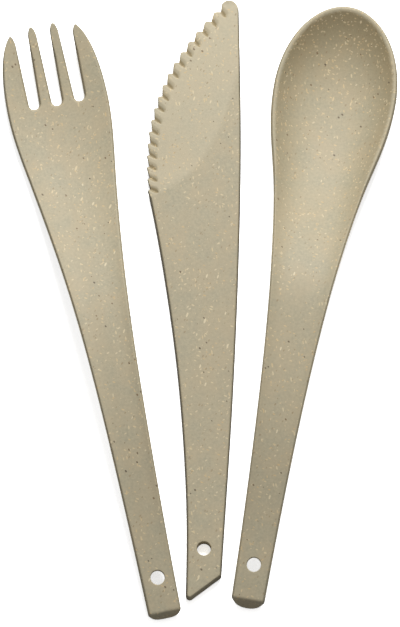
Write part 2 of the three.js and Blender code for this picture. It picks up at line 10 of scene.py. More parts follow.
import bpy
import numpy as np
from mathutils.geometry import delaunay_2d_cdt
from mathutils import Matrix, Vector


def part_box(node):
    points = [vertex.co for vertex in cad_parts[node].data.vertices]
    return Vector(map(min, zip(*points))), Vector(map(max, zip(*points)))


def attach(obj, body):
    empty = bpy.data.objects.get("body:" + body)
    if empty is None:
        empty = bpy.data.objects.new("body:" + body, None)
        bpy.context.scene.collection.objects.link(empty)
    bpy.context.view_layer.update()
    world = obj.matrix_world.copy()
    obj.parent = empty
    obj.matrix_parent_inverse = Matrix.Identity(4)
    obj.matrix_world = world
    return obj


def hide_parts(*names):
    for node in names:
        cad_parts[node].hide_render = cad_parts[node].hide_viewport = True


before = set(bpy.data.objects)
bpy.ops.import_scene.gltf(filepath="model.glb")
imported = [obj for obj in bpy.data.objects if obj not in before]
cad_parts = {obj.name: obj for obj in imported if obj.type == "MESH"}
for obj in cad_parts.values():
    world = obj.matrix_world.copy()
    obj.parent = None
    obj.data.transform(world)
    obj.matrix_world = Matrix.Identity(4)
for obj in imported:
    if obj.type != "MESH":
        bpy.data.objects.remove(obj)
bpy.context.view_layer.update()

MM = 0.001

# How finely the faces are divided: the rows round an edge, and the steps in millimetres.
# A zone is how far the finer steps reach. Points nearer than the least gap count as one, and
# triangles under the least area are left out.
EDGE_ROWS = 9
SHEET_STEP, SHEET_OUTLINE_STEP = 0.95, 0.42
FOLD_STEP, FOLD_ZONE = 0.35, 2.5
KNIFE_STEP, KNIFE_OUTLINE_STEP = 1.2, 0.22
BLADE_STEP, BLADE_ZONE = 0.24, 8
CREASE_START, CREASE_STEP = 0.55, 0.2
LEAST_GAP = 1e-6
LEAST_TRIANGLE = 1e-5

# In steps: the way between staggered rows, and the ways to keep from an edge and from a crease
ROW_SHARE = 0.866
HEM_SHARE = 0.4
CREASE_CLEARANCE, CREASE_SEARCH = 0.6, 6

# Sizes that two or three pieces share, in millimetres and degrees. The draft is how far a side
# wall leans in from its foot to its top. The handle's dish power shapes it across.
HOLE_DIAMETER = 5
HOLE_EDGE_RADIUS = 0.35
SHEET_WALL = 2.3
SHEET_EDGE_RADIUS = 1.05
DRAFT = 0.38
FOLD_EASE = 0.9
MITRE_REACH = 8
LIP_ANGLE = np.radians(69)
HANDLE_DISH_POWER = 4

# Spoon. The level rim starts, and has its full width, at two distances behind the widest place.
SPOON_LENGTH = 226.3
SPOON_HANDLE_WIDTH = 11.9
BOWL_WIDTH = 45.4
BOWL_FRONT = 34.3
BOWL_DEPTH = 8.3
RIM_WIDTH = 1.4
RIM_START, RIM_FULL = 60, 15
SPOON_LIP = 6.4
SPOON_ARCH_HEIGHT = 22.3
SPOON_HOLE_RUN = 12.5
SPOON_TURN = -9.74

# Fork. The edge radius falls by its loss between two distances from the tips. The side's points
# end a gap before the outer tip's.
FORK_LENGTH = 225.7
FORK_HANDLE_WIDTH = 11.9
HEAD_WIDTH = 37.6
HEAD_FRONT = 30.7
HEAD_SIDE_POWER = 4.4
FRONT_OVERSHOOT = 0.7
HEAD_DEPTH = 2.9
FORK_LIP = 5
FORK_ARCH_HEIGHT = 18
TINE_LIFT = 4.2
FORK_HOLE_RUN = 12.5
SLOT_PITCH = 8.5
SLOT_WIDTH = 3.8
SLOT_DEPTH = 30
MOUTH_PITCH = 8.25
MOUTH_WIDTH = 5
TINE_TIP_LENGTH = 4
OUTER_TINE_SHORTFALL = 2
SIDE_GAP = 0.05
TIP_EDGE_LOSS = 0.6
TIP_EDGE_START, TIP_EDGE_END = 14, 5
FORK_TURN = 11.77

# Knife, with its corners' angles in degrees
KNIFE_LENGTH = 227.7
KNIFE_HANDLE_WIDTH = 13.55
KNIFE_THICKNESS = 4
KNIFE_EDGE_RADIUS = 0.95
KNIFE_HOLE = (-0.6, 18.3)
BACK_RISE = 6.3
BLADE_LENGTH = 74.2
BLADE_WIDTH = 34.75
NOSE_RADIUS = 3.7
NOSE_TURN = 135
END_SLANT = 7.5
END_CORNER_RADIUS = 1.4
LOW_CORNER_END, HIGH_CORNER_START = 302, -54

# Ground face: its edge's thickness, how far before and past its start it deepens, its least
# width, and how softly it turns at its limit.
BLADE_EDGE_THICKNESS = 1.6
GRIND_BEFORE, GRIND_PAST = 6, 14
LEAST_GRIND = 0.5
GRIND_EASE = 0.6

# Teeth, which reach over a share of the blade's width. Their edge has its own wall and radius.
# The first tooth's flank starts below its tip, and the belly's points end a gap below it. The
# plain edge goes over into the teeth's within a few points of the outline.
TOOTH_PITCH = 4.46
TOOTH_PITCH_GROWTH = 0.04
MOST_TEETH = 40
PLAIN_TIP = 3
TOOTH_TIP_RADIUS = 0.8
FIRST_FLANK, BELLY_GAP = 3, 1
HEEL_LEDGE, TIP_LEDGE = 0.9, 2.65
LEDGE_RISE = 0.15
TOOTHED_SHARE = 0.82
TOOTH_HALF_WALL = 0.06
TOOTH_EDGE_RADIUS = 0.3
FADE_POINTS = 15

# Groove behind each tooth. Its walls steepen past a share of their width, and its floor runs out
# at its inner end. It lifts where the blade, a little inside the notch, is thicker than usual. It
# is cut as far across as its reach, in widths of its walls, and from its start to its end.
HEEL_GROOVE_TURN, TIP_GROOVE_TURN = -28, -58
UPPER_WALL_WIDTH, LOWER_WALL_WIDTH = 3, 1.3
WALL_POWER = 1.4
STEEP_FROM, STEEPNESS = 0.6, 4
GROOVE_DEPTH = 0.95
GROOVE_LENGTH = 3.9
GROOVE_REACH = 1.3
GROOVE_START, GROOVE_END = -4, 8
GROOVE_EASE = 0.05
GROOVE_CLIMB = 0.04
RUN_OUT_RISE, RUN_OUT_POWER = 1.6, 5
NOTCH_THICKNESS = 0.3
LIFT_PLACE = 1.5
GROOVED_HALF_THICKNESS = 0.95

# Painted light and tone of the plastic: towards 1 it is paler, and towards -1 browner. Browner is
# painted shade, in the spoon bowl's front and sides and in the knife's grooves. Paler is a painted
# highlight on the bowl's rim, and a paler tone on the knife's ground face. Each part of it grows
# between two distances ahead of the widest place or of the ground face's start, and between two
# shares of the way out, ways inside the grinding's limit or depths of a groove.
# Painted shade in the bowl's front and sides, and a painted highlight on its rim
FRONT_PAINTED_SHADE, FRONT_AHEAD = 0.5, (-15, 30)
SIDE_PAINTED_SHADE, SIDE_AHEAD, SIDE_OUT = 0.45, (-75, -10), (0.45, 1)
RIM_PAINTED_HIGHLIGHT, RIM_AHEAD, RIM_OUT = 0.5, (-60, -20), (0.97, 1)
GRIND_AHEAD, GRIND_INSIDE = (-2, 10), (-0.3, 0.9)
# Painted shade, darker as the grooves get deeper
GROOVE_PAINTED_SHADE, GROOVE_SUNK = 2.2, (0.05, 0.55)


def smooth_between(value, low, high):
    """Eased step from 0 at low to 1 at high."""
    share = np.clip((value - low) / (high - low), 0, 1)
    return share * share * (3 - 2 * share)


def curve_through(knots, end_slope=None):
    """Smooth curve through [place, value] knots: a natural cubic spline, straight outside the knots.

    An end slope, where there is one, is the slope at the last knot and past it.
    """
    places, values = np.array(knots, float).T
    last = len(places) - 1
    gap = np.diff(places)
    rise = np.diff(values) / gap
    system = np.zeros((last + 1, last + 1))
    right = np.zeros(last + 1)
    system[0, 0] = system[last, last] = 1
    inner = np.arange(1, last)
    system[inner, inner - 1] = gap[:-1]
    system[inner, inner] = 2 * (gap[:-1] + gap[1:])
    system[inner, inner + 1] = gap[1:]
    right[inner] = 6 * np.diff(rise)
    if end_slope is not None:
        system[last, last - 1:] = gap[-1], 2 * gap[-1]
        right[last] = 6 * (end_slope - rise[-1])
    bend = np.linalg.solve(system, right)
    first_slope = rise[0] - gap[0] * (2 * bend[0] + bend[1]) / 6
    final_slope = rise[-1] + gap[-1] * (bend[-2] + 2 * bend[-1]) / 6

    def value_at(place):
        """Value from the cubic piece between the two knots around, and along the end slopes."""
        place = np.asarray(place, float)
        held = np.clip(place, places[0], places[-1])
        i = np.clip(np.searchsorted(places, held, side="right") - 1, 0, last - 1)
        before = held - places[i]
        after = places[i + 1] - held
        curl = (bend[i] * after ** 3 + bend[i + 1] * before ** 3) / (6 * gap[i])
        low = (values[i] / gap[i] - bend[i] * gap[i] / 6) * after
        high = (values[i + 1] / gap[i] - bend[i + 1] * gap[i] / 6) * before
        beyond = np.minimum(place - places[0], 0) * first_slope
        beyond = beyond + np.maximum(place - places[-1], 0) * final_slope
        return curl + low + high + beyond

    return value_at


def length_along(path):
    """Length from a path's start to each of its points: the sum of the straight steps before it."""
    return np.concatenate([[0], np.cumsum(np.hypot(*np.diff(path, axis=0).T))])


def places_along(path, at):
    """Places at some lengths along a path, straight between its points."""
    length = length_along(path)
    return np.column_stack([np.interp(at, length, path[:, 0]), np.interp(at, length, path[:, 1])])


def path_through(knots, steps):
    """Smooth path through [x, y] knots: a cubic spline of x and of y over the chord length."""
    length = length_along(knots)
    at = np.linspace(0, length[-1], steps)
    x_at = curve_through(np.column_stack([length, knots[:, 0]]))
    y_at = curve_through(np.column_stack([length, knots[:, 1]]))
    return np.column_stack([x_at(at), y_at(at)])


def arc(middle, radius, start, end, steps):
    """Points round a middle, from a start angle to an end angle in radians."""
    angle = np.linspace(start, end, steps)
    return np.column_stack([middle[0] + radius * np.cos(angle), middle[1] + radius * np.sin(angle)])


def evenly_spaced(paths, spacing):
    """Closed loop along paths that follow each other, in about equal steps from each path's start."""
    loop = []
    for path, following in zip(paths, paths[1:] + paths[:1]):
        path = np.vstack([path, following[:1]])
        length = length_along(path)[-1]
        at = np.linspace(0, length, max(1, round(length / spacing)), endpoint=False)
        loop.append(places_along(path, at))
    return np.vstack(loop)


def inward_of(loop):
    """Unit directions into the material, on the left of a loop's way round.

    Each is square to the line between the points before and after its own.
    """
    ahead = np.roll(loop, -1, axis=0) - np.roll(loop, 1, axis=0)
    inward = np.column_stack([-ahead[:, 1], ahead[:, 0]])
    return inward / np.hypot(*inward.T)[:, None]


def turns_round(points, loops):
    """How many times the loops go round each point, anticlockwise counted up.

    It counts the loops' lines that pass the point on its right, upwards as 1 and downwards as -1.
    """
    count = np.zeros(len(points), int)
    for loop in loops:
        ahead = np.roll(loop, -1, axis=0)
        for part in np.array_split(np.arange(len(loop)), len(loop) // 200 + 1):
            a, b = loop[part, None], ahead[part, None]
            side = (b[..., 0] - a[..., 0]) * (points[:, 1] - a[..., 1])
            side = side - (b[..., 1] - a[..., 1]) * (points[:, 0] - a[..., 0])
            up = (a[..., 1] <= points[:, 1]) & (b[..., 1] > points[:, 1]) & (side > 0)
            down = (a[..., 1] > points[:, 1]) & (b[..., 1] <= points[:, 1]) & (side < 0)
            count += up.sum(axis=0) - down.sum(axis=0)
    return count


def staggered(low, high, spacing):
    """Points of an even triangular pattern over a rectangle: every other row is half a step along."""
    x = np.arange(low[0], high[0], spacing)
    y = np.arange(low[1], high[1], spacing * ROW_SHARE)
    grid = np.stack(np.meshgrid(x, y), axis=-1)
    grid[::2, :, 0] += spacing / 2
    return grid.reshape(-1, 2)


def rounded_rows(loop, inset):
    """Rows of points from a loop inwards, with their rise and their lean.

    Row k lies inset * (1 - cos(angle)) inside the loop and has risen by sin(angle), where the angle
    goes from zero at the edge to a quarter turn. The lean is the way inward times cos(angle), and
    fades out where the side faces the head's front.
    """
    angle = np.linspace(0, np.pi / 2, EDGE_ROWS)[:, None]
    inward = inward_of(loop)
    reach = inset * (1 - np.cos(angle))
    faced = 1 - np.clip(-inward[:, 1:], 0, 1)
    rise = np.broadcast_to(np.sin(angle), reach.shape)
    return loop + inward * reach[..., None], rise, inward * faced * np.cos(angle)[..., None]


def clear_of_crease(grid, crease, fine_spacing):
    """Leaves out the points that lie too close to a crease, which has points of its own.

    Only the points within some steps of every fourth crease point are measured to all of them.
    """
    beside = np.abs(grid[:, None] - crease[::4]).sum(axis=2).min(axis=1) < CREASE_SEARCH * fine_spacing
    apart = np.hypot(*(grid[beside][:, None] - crease).T).min(axis=0)
    return np.vstack([grid[~beside], grid[beside][apart > CREASE_CLEARANCE * fine_spacing]])


def filled(loops, creases, grid):
    """Anticlockwise triangles that fill the loops, with edges along the loops and the creases.

    A triangle is left out if its middle is outside the loops, or if its area is next to nothing.
    """
    given = np.vstack([*loops, *creases, grid])
    held, first = [], 0
    for loop in loops:
        ring = first + np.arange(len(loop))
        held.append(np.column_stack([ring, np.roll(ring, -1)]))
        first += len(loop)
    for crease in creases:
        line = first + np.arange(len(crease))
        held.append(np.column_stack([line[:-1], line[1:]]))
        first += len(crease)
    made = delaunay_2d_cdt(given.tolist(), np.vstack(held).tolist(), [], 0, LEAST_GAP)
    assert len(made[0]) == len(given)
    triangles = np.array(made[2])
    corners = given[triangles]
    one, two = corners[:, 1] - corners[:, 0], corners[:, 2] - corners[:, 0]
    area = (one[:, 0] * two[:, 1] - one[:, 1] * two[:, 0]) / 2
    triangles[area < 0] = triangles[area < 0][:, ::-1]
    inside = turns_round(corners.mean(axis=1), loops) == 1
    return triangles[inside & (np.abs(area) > LEAST_TRIANGLE)]


def trimmed_face(loops, insets, spacing, near, fine_spacing, creases=()):
    """Flat drawing of a face inside its loops: rounded rows along each loop, and a filled middle.

    The middle has evenly staggered points, finer where near() is true. Gives the points with their
    rise, inset and lean, the faces, and the rows at the edges. Only the outer loop's rows lean.
    """
    points, rises, reaches, leans, quads, edges, seams, hems = [], [], [], [], [], [], [], []
    start = 0
    for loop, inset in zip(loops, insets):
        inset = np.broadcast_to(inset, len(loop))
        places, rise, lean = rounded_rows(loop, inset)
        points.append(places.reshape(-1, 2))
        rises.append(rise.ravel())
        reaches.append(np.broadcast_to(inset, rise.shape).ravel())
        leans.append(lean.reshape(-1, 2) * (loop is loops[0]))
        index = start + np.arange(rise.size).reshape(rise.shape)
        beside = np.roll(index, -1, axis=1)
        corners = [index[:-1], beside[:-1], beside[1:], index[1:]]
        quads.append(np.stack(corners, axis=-1).reshape(-1, 4))
        edges.append(index[0])
        seams.append(index[-1])
        hems.append(loop + inward_of(loop) * (inset + HEM_SHARE * fine_spacing)[:, None])
        start += rise.size
    points = np.vstack(points)
    seam_loops = [points[seam] for seam in seams]
    low, high = points.min(axis=0), points.max(axis=0)
    coarse, fine = staggered(low, high, spacing), staggered(low, high, fine_spacing)
    grid = np.vstack([coarse[~near(coarse)], fine[near(fine)]])
    for crease in creases:
        grid = clear_of_crease(grid, crease, fine_spacing)
    grid = grid[(turns_round(grid, hems) == 1) & (turns_round(grid, seam_loops) == 1)]
    middle = np.vstack([*creases, grid])
    index = np.concatenate([*seams, start + np.arange(len(middle))])
    return SimpleNamespace(
        points=np.vstack([points, middle]),
        rise=np.concatenate([*rises, np.ones(len(middle))]),
        inset=np.concatenate([*reaches, np.full(len(middle), reaches[0][0])]),
        lean=np.vstack([*leans, np.zeros_like(middle)]),
        quads=np.vstack(quads),
        triangles=index[filled(seam_loops, creases, grid)],
        edges=edges,
    )


def closed_plate(name, face, upper, lower, turn, painted_light_and_tone):
    """Closes a plate: the upper face, the lower face turned over, and a wall between their edges.

    The piece is turned by its angle, and its box gets the middle and the foot of its CAD node's box.
    The painted light and tone go to the material: towards 1 the plastic is paler, and towards -1
    browner, which is painted shade.
    """
    half = len(upper)
    turned = np.radians(turn)
    rotation = np.array([[np.cos(turned), np.sin(turned)], [-np.sin(turned), np.cos(turned)]])
    places = np.vstack([upper, lower]) * MM
    places[:, :2] = places[:, :2] @ rotation
    low, high = np.array(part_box(name))
    places[:, :2] += (low + high)[:2] / 2 - (places.min(axis=0) + places.max(axis=0))[:2] / 2
    places[:, 2] += low[2] - places[:, 2].min()
    walls = []
    for edge in face.edges:
        beside = np.roll(edge, -1)
        walls.append(np.column_stack([edge, edge + half, beside + half, beside]))
    quads = np.vstack([face.quads, face.quads[:, ::-1] + half, *walls])
    triangles = np.vstack([face.triangles, face.triangles[:, ::-1] + half])
    mesh = bpy.data.meshes.new(name + "_body")
    mesh.from_pydata(places.tolist(), [], quads.tolist() + triangles.tolist())
    mesh.polygons.foreach_set("use_smooth", np.ones(len(mesh.polygons), bool))
    # Painted light and tone, kept on the points for the material
    mesh.attributes.new("painted_light_and_tone", "FLOAT", "POINT").data.foreach_set("value", np.tile(painted_light_and_tone, 2))
    mesh.update()
    piece = bpy.data.objects.new(name + "_moulding", mesh)
    bpy.context.scene.collection.objects.link(piece)
    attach(piece, "root")
    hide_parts(name)
    return piece


def fold_height(lip):
    """Height of the fold's corner over the table that the lip's round end stands on."""
    return lip * np.sin(LIP_ANGLE) + SHEET_WALL / 2 * (1 + np.cos(LIP_ANGLE) - np.sin(LIP_ANGLE))


def side_profile(sheet, run):
    """Side view of a sheet's face: up the lip, over the eased fold, then along the arch.

    Returns the place along the table, the height and the slope. The fold is a quadratic curve from
    the lip to the arch that has the fold's corner as its middle control point.
    """
    start_run, end_run = -FOLD_EASE * np.cos(LIP_ANGLE), FOLD_EASE
    start_height = sheet.lip_top - FOLD_EASE * np.sin(LIP_ANGLE)
    end_height = sheet.height(FOLD_EASE)
    share = np.clip((run + FOLD_EASE) / (2 * FOLD_EASE), 0, 1)
    fold_run = (1 - share) ** 2 * start_run + share ** 2 * end_run
    fold_height_now = (1 - share) ** 2 * start_height + 2 * share * (1 - share) * sheet.lip_top
    fold_height_now = fold_height_now + share ** 2 * end_height
    fold_slope = np.arctan2(
        (1 - share) * (sheet.lip_top - start_height) + share * (end_height - sheet.lip_top),
        (1 - share) * -start_run + share * end_run,
    )
    step = 0.01
    arch_slope = np.arctan((sheet.height(run + step) - sheet.height(run - step)) / (2 * step))
    on_lip, on_fold = run <= -FOLD_EASE, run < FOLD_EASE
    along = np.where(on_lip, run * np.cos(LIP_ANGLE), np.where(on_fold, fold_run, run))
    lip_height = sheet.lip_top + run * np.sin(LIP_ANGLE)
    height = np.where(on_lip, lip_height, np.where(on_fold, fold_height_now, sheet.height(run)))
    slope = np.where(on_lip, LIP_ANGLE, np.where(on_fold, fold_slope, arch_slope))
    return along, height, slope


def outward_at(sheet, x, run):
    """How far out a place on the face lies: 0 on the middle line, 1 on the level rim round the dish.

    It is the length of (x / half width, way ahead of the widest place / dish's front), with the
    half width and the front taken to the inside of the rim.
    """
    rim = sheet.rim * smooth_between(run, sheet.widest - RIM_START, sheet.widest - RIM_FULL)
    half = sheet.half_width(np.minimum(run, sheet.widest)) - rim
    ahead = np.maximum(0, run - sheet.widest) / (sheet.dish_front - rim)
    return np.minimum(1, np.hypot(x / half, ahead))


def dish_at(sheet, x, run):
    """How far the face lies below its rim: depth * (1 - outward ** power).

    Between 0.5 and 0.85 of the way to the widest place the power goes over from the handle's to
    the dish's own.
    """
    at_head = smooth_between(run, sheet.widest * 0.5, sheet.widest * 0.85)
    power = HANDLE_DISH_POWER - (HANDLE_DISH_POWER - sheet.dish_power) * at_head
    return np.maximum(0, sheet.depth(run)) * (1 - outward_at(sheet, x, run) ** power)


def dish_painted_light(sheet, x, run):
    """Painted light in the dish: painted shade, browner by eased steps towards its front and its
    sides, and a painted highlight, paler on its rim.

    A sheet whose painted light share is 0 has none.
    """
    outward = outward_at(sheet, x, run)
    ahead = run - sheet.widest
    # Masks of the painted shade at the front and the sides, and of the painted highlight on the rim
    front = smooth_between(ahead, *FRONT_AHEAD)
    side = smooth_between(outward, *SIDE_OUT) * smooth_between(ahead, *SIDE_AHEAD)
    rim = smooth_between(outward, *RIM_OUT) * smooth_between(ahead, *RIM_AHEAD)
    # Painted shade, held off the rim's painted highlight
    painted_shade = FRONT_PAINTED_SHADE * front + SIDE_PAINTED_SHADE * side
    return sheet.browning * (RIM_PAINTED_HIGHLIGHT * rim - painted_shade * (1 - rim))


def on_sheet(sheet, flat, sink):
    """Carries flat points onto the face and sinks them below it along the side profile's normal.

    Under the fold the underside slides outwards, so that it meets itself in a mitre.
    """
    x, run = flat.T
    along, height, slope = side_profile(sheet, run)
    reach = np.where(run < 0, sheet.lip, MITRE_REACH)
    bend = LIP_ANGLE - side_profile(sheet, np.array(2 * FOLD_EASE))[2]
    away = np.clip(run / FOLD_EASE, -1, 1) * np.clip(1 - np.abs(run) / reach, 0, 1)
    slide = sink * np.tan(bend / 2) * away
    below = sink + dish_at(sheet, x, run)
    along = along + below * np.sin(slope) + slide * np.cos(slope)
    height = height - below * np.cos(slope) + slide * np.sin(slope)
    return np.column_stack([x, along, height])


def swelling_width(handle_width, head_width, widest, swell):
    """Half width that swells from the handle's to the head's by a curve through its knots.

    A knot is [distance back from the widest place, share of the growth].
    """
    knots = [[0, 0], [10, 0.01], *[[widest - back, share] for back, share in swell], [widest, 1]]
    growth = curve_through(knots, 0)
    return lambda run: (handle_width + (head_width - handle_width) * growth(run)) / 2


def sheet_side(sheet):
    """Right side of a sheet's outline, from the middle of the lip's end to the widest place.

    The lip's end follows (x / half width) ** power + (way out / lip) ** power = 1.
    """
    angle = np.linspace(0, np.pi / 2, 60, endpoint=False)
    lip_x = sheet.half_width(0) * np.sin(angle) ** (2 / sheet.lip_power)
    lip_run = -sheet.lip * np.cos(angle) ** (2 / sheet.lip_power)
    run = np.linspace(0, sheet.widest, 500, endpoint=False)
    x = np.concatenate([lip_x, sheet.half_width(run)])
    return np.column_stack([x, np.concatenate([lip_run, run])])


def mirrored_loop(right):
    """Closed loop from its right half, which runs from the foot's middle to the head's middle."""
    left = right[-2:0:-1] * (-1, 1)
    return np.vstack([right, left])


def hanging_hole(middle):
    """Clockwise circle, so that the material lies on its left."""
    return arc(middle, HOLE_DIAMETER / 2, 2 * np.pi, 0, 73)[:-1]


def by_the_fold(flat):
    """True for the places close to the fold."""
    return np.abs(flat[:, 1]) < FOLD_ZONE


def sheet_piece(name, sheet, outline, turn):
    """A dished sheet with rounded edges all round and a hanging hole, finely divided at the fold.

    The edge sinks by inset * (1 - rise), and the upper one leans in by the draft times its lean.
    """
    loops = [evenly_spaced(outline, SHEET_OUTLINE_STEP), hanging_hole((0, sheet.hole_run))]
    edge = sheet.edge_radius(loops[0])
    face = trimmed_face(loops, [edge, HOLE_EDGE_RADIUS], SHEET_STEP, by_the_fold, FOLD_STEP)
    sink = face.inset * (1 - face.rise)
    top = face.points + DRAFT * face.lean * face.inset[:, None] / SHEET_EDGE_RADIUS
    upper = on_sheet(sheet, top, sink)
    lower = on_sheet(sheet, face.points, SHEET_WALL - sink)
    return closed_plate(name, face, upper, lower, turn, dish_painted_light(sheet, *top.T))


def spoon():
    """Spoon: an arched handle that dips into an oval bowl, with a folded lip at its end."""
    widest = SPOON_LENGTH - BOWL_FRONT
    lip_top = fold_height(SPOON_LIP)
    rim = BOWL_DEPTH + SHEET_WALL
    swell = [[135, 0.096], [95, 0.233], [55, 0.476], [35, 0.666], [15, 0.922]]
    sheet = SimpleNamespace(
        lip=SPOON_LIP, lip_power=2.2, lip_top=lip_top, widest=widest, dish_front=BOWL_FRONT,
        hole_run=SPOON_HOLE_RUN,
        half_width=swelling_width(SPOON_HANDLE_WIDTH, BOWL_WIDTH, widest, swell),
        edge_radius=lambda loop: SHEET_EDGE_RADIUS,
        # The spoon's dish gets painted shade and a painted highlight
        rim=RIM_WIDTH, dish_power=2.7, browning=1,
        height=curve_through([
            [0, lip_top],
            [20, lip_top + 3.3],
            [widest - 135, SPOON_ARCH_HEIGHT - 4.3],
            [widest - 95, SPOON_ARCH_HEIGHT - 0.3],
            [widest - 75, SPOON_ARCH_HEIGHT - 0.2],
            [widest - 35, rim + 2],
            [widest, rim + 0.2],
            [SPOON_LENGTH, rim + 1],
        ]),
        depth=curve_through([
            [8, 0],
            [30, 0.8],
            [widest - 95, 1.7],
            [widest - 60, 2.9],
            [widest - 25, BOWL_DEPTH * 0.8],
            [widest - 5, BOWL_DEPTH],
            [SPOON_LENGTH, BOWL_DEPTH],
        ]),
    )
    angle = np.linspace(np.pi / 2, 0, 200)
    front = np.column_stack([BOWL_WIDTH / 2 * np.sin(angle), widest + BOWL_FRONT * np.cos(angle)])
    outline = mirrored_loop(np.vstack([sheet_side(sheet), front]))
    return sheet_piece("spoon", sheet, [outline], SPOON_TURN)


def tine_tip(middle, end, start_angle, end_angle):
    """Part of a tine's round tip, an ellipse."""
    angle = np.linspace(start_angle, end_angle, 30)
    x = middle + (MOUTH_PITCH - MOUTH_WIDTH) / 2 * np.cos(angle)
    return np.column_stack([x, end - TINE_TIP_LENGTH + TINE_TIP_LENGTH * np.sin(angle)])


def tines():
    """Right half of the head's front edge: round the outer tine, down and up the slots.

    The outer side follows (x / half width) ** power + (ahead / front) ** 2 = 1 from the widest place.
    """
    outer_end = FORK_LENGTH - OUTER_TINE_SHORTFALL
    root_radius = SLOT_WIDTH / 2
    root_run = FORK_LENGTH - SLOT_DEPTH + root_radius
    angle = np.linspace(np.pi / 2, 0, 400)
    x = HEAD_WIDTH / 2 * np.sin(angle) ** (2 / HEAD_SIDE_POWER)
    ahead = (HEAD_FRONT + FRONT_OVERSHOOT) * np.cos(angle)
    side = np.column_stack([x, FORK_LENGTH - HEAD_FRONT + ahead])
    return np.vstack([
        side[side[:, 1] < outer_end - SIDE_GAP],
        tine_tip(1.5 * MOUTH_PITCH, outer_end, np.pi / 2, np.pi),
        arc((SLOT_PITCH, root_run), root_radius, 0, -np.pi, 60),
        tine_tip(0.5 * MOUTH_PITCH, FORK_LENGTH, 0, np.pi),
        arc((0, root_run), root_radius, 0, -np.pi / 2, 30),
    ])


def fork_edge_radius(loop):
    """Radius of the edge, which falls in an eased step towards the tips."""
    start, end = FORK_LENGTH - TIP_EDGE_START, FORK_LENGTH - TIP_EDGE_END
    return SHEET_EDGE_RADIUS - TIP_EDGE_LOSS * smooth_between(loop[:, 1], start, end)


def fork():
    """Fork: an arched handle, a shallow head that lifts towards its tips, four tines, a folded lip."""
    widest = FORK_LENGTH - HEAD_FRONT
    lip_top = fold_height(FORK_LIP)
    palm = HEAD_DEPTH + SHEET_WALL
    swell = [[135, 0.105], [97, 0.237], [57, 0.498], [27, 0.79], [12, 0.946]]
    sheet = SimpleNamespace(
        lip=FORK_LIP, lip_power=2.8, lip_top=lip_top, widest=widest, dish_front=np.inf,
        hole_run=FORK_HOLE_RUN,
        half_width=swelling_width(FORK_HANDLE_WIDTH, HEAD_WIDTH, widest, swell),
        edge_radius=fork_edge_radius,
        # The fork's head gets no painted shade or highlight
        rim=0, dish_power=2.2, browning=0,
        height=curve_through([
            [0, lip_top],
            [20, lip_top + 2.7],
            [widest - 135, FORK_ARCH_HEIGHT - 3],
            [widest - 100, FORK_ARCH_HEIGHT],
            [widest - 77, FORK_ARCH_HEIGHT - 1.3],
            [widest - 32, palm + 1.5],
            [widest - 12, palm],
            [widest + 8, palm + 0.9],
            [FORK_LENGTH, palm + TINE_LIFT],
        ]),
        depth=curve_through([
            [8, 0],
            [30, 0.7],
            [widest - 97, 1.4],
            [widest - 45, 2],
            [widest - 12, HEAD_DEPTH],
            [widest + 8, HEAD_DEPTH * 0.8],
            [FORK_LENGTH, HEAD_DEPTH * 0.25],
        ]),
    )
    outline = mirrored_loop(np.vstack([sheet_side(sheet), tines()]))
    return sheet_piece("fork", sheet, [outline], FORK_TURN)


# Knife, drawn flat: x = 0 is the handle's middle line and y = 0 the slanted end's low corner.
# The sides swell from the handle to the blade: [distance ahead of the heel, share of the swell].
BACK_SWELL = [
    [-142, -0.151], [-127.5, 0], [-87.5, 0.413], [-47.5, 0.73], [-12.5, 0.921], [18.5, 1],
    [46.5, 0.968], [68.5, 0.905],
]
BELLY_SWELL = [
    [-150.5, 0.017], [-127.5, 0], [-97.5, 0.077], [-67.5, 0.245], [-37.5, 0.51], [-9.5, 0.832],
    [0, 0.961],
]

# On the blade: [share of its length from the heel, share of its width from the lowest edge]
BLADE_EDGE = [
    [0, 0.017], [0.115, 0], [0.222, 0.004], [0.357, 0.038], [0.477, 0.107], [0.6, 0.208],
    [0.72, 0.35], [0.829, 0.515], [0.926, 0.687], [0.976, 0.793],
]
GRIND_LIMIT = [
    [-0.032, 0.092], [0.009, 0.25], [0.119, 0.535], [0.208, 0.662], [0.313, 0.778], [0.55, 0.938],
    [0.829, 1.142],
]
HEEL = KNIFE_LENGTH - BLADE_LENGTH


def on_blade(shares):
    """Places on the flat drawing from shares of the blade's length and width."""
    ahead, across = np.array(shares).T
    lowest = KNIFE_HANDLE_WIDTH / 2 + BACK_RISE - BLADE_WIDTH
    return np.column_stack([lowest + BLADE_WIDTH * across, HEEL + BLADE_LENGTH * ahead])


def x_over_y(points):
    """Curve that gives x at each y of the points."""
    return curve_through(points[:, ::-1])


def softly_lower(one, other, ease):
    """The lower of two heights, with the corner between them rounded over about the ease."""
    return (one + other - np.sqrt((one - other) ** 2 + ease ** 2)) / 2


def teeth_along_blade():
    """Tips, notches and groove directions of the teeth, from the heel to the tip.

    Tooth k lies k * pitch + growth * k * k / 2 along the edge. Its ledge runs in from its tip to its
    notch, and gets longer, and its groove steeper, in proportion to the way along the edge.
    """
    blade = path_through(on_blade(BLADE_EDGE), 900)
    length = length_along(blade)[-1]
    k = np.arange(MOST_TEETH)
    at = TOOTH_PITCH * k + TOOTH_PITCH_GROWTH * k * k / 2
    at = at[at < length - PLAIN_TIP]
    tip = places_along(blade, at)
    share = at / length
    ledge = HEEL_LEDGE + (TIP_LEDGE - HEEL_LEDGE) * share
    notch = tip + np.column_stack([ledge, np.full_like(ledge, LEDGE_RISE)])
    turn = np.radians(HEEL_GROOVE_TURN + (TIP_GROOVE_TURN - HEEL_GROOVE_TURN) * share)
    return tip, notch, np.column_stack([np.cos(turn), np.sin(turn)])


